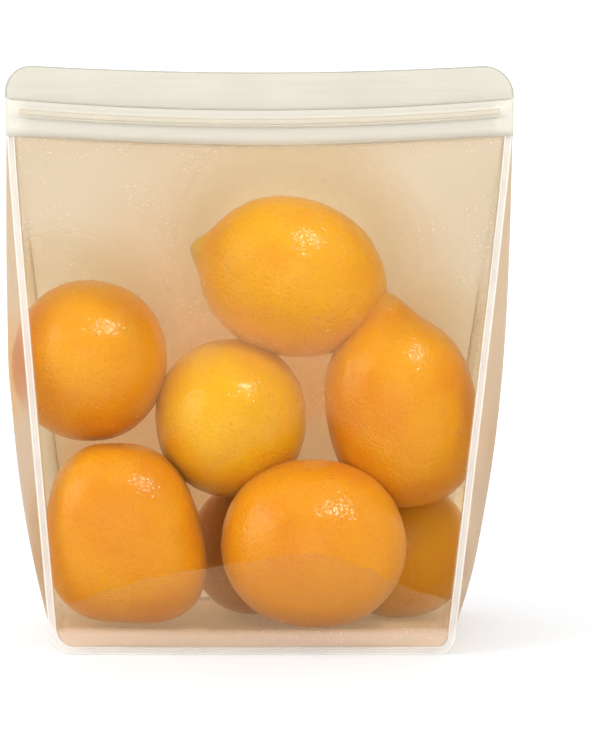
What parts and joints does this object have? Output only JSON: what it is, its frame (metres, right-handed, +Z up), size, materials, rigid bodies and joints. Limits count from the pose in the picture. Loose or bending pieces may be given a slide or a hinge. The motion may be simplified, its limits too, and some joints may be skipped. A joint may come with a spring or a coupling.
{
  "type": "stand-up food storage bag",
  "caption": "Zip-topped stand-up food storage bag of frosted film, shut and filled with oranges and lemons, standing upright on its bottom weld rims.",
  "frame": {"origin": "on the surface that the bag stands on, below the middle of the mouth", "axes": "+Z up, the front panel faces -Y, +X to the right seen from the front"},
  "size_m": [0.2117, 0.1254, 0.238],
  "materials": {
    "frosted_film": "frosted translucent film, satin",
    "milky_zip": "milky translucent plastic, satin"
  },
  "bodies": {
    "root": {"bag": "frosted_film", "zip_rail_front": "milky_zip", "zip_rail_back": "milky_zip"}
  },
  "joints": []
}
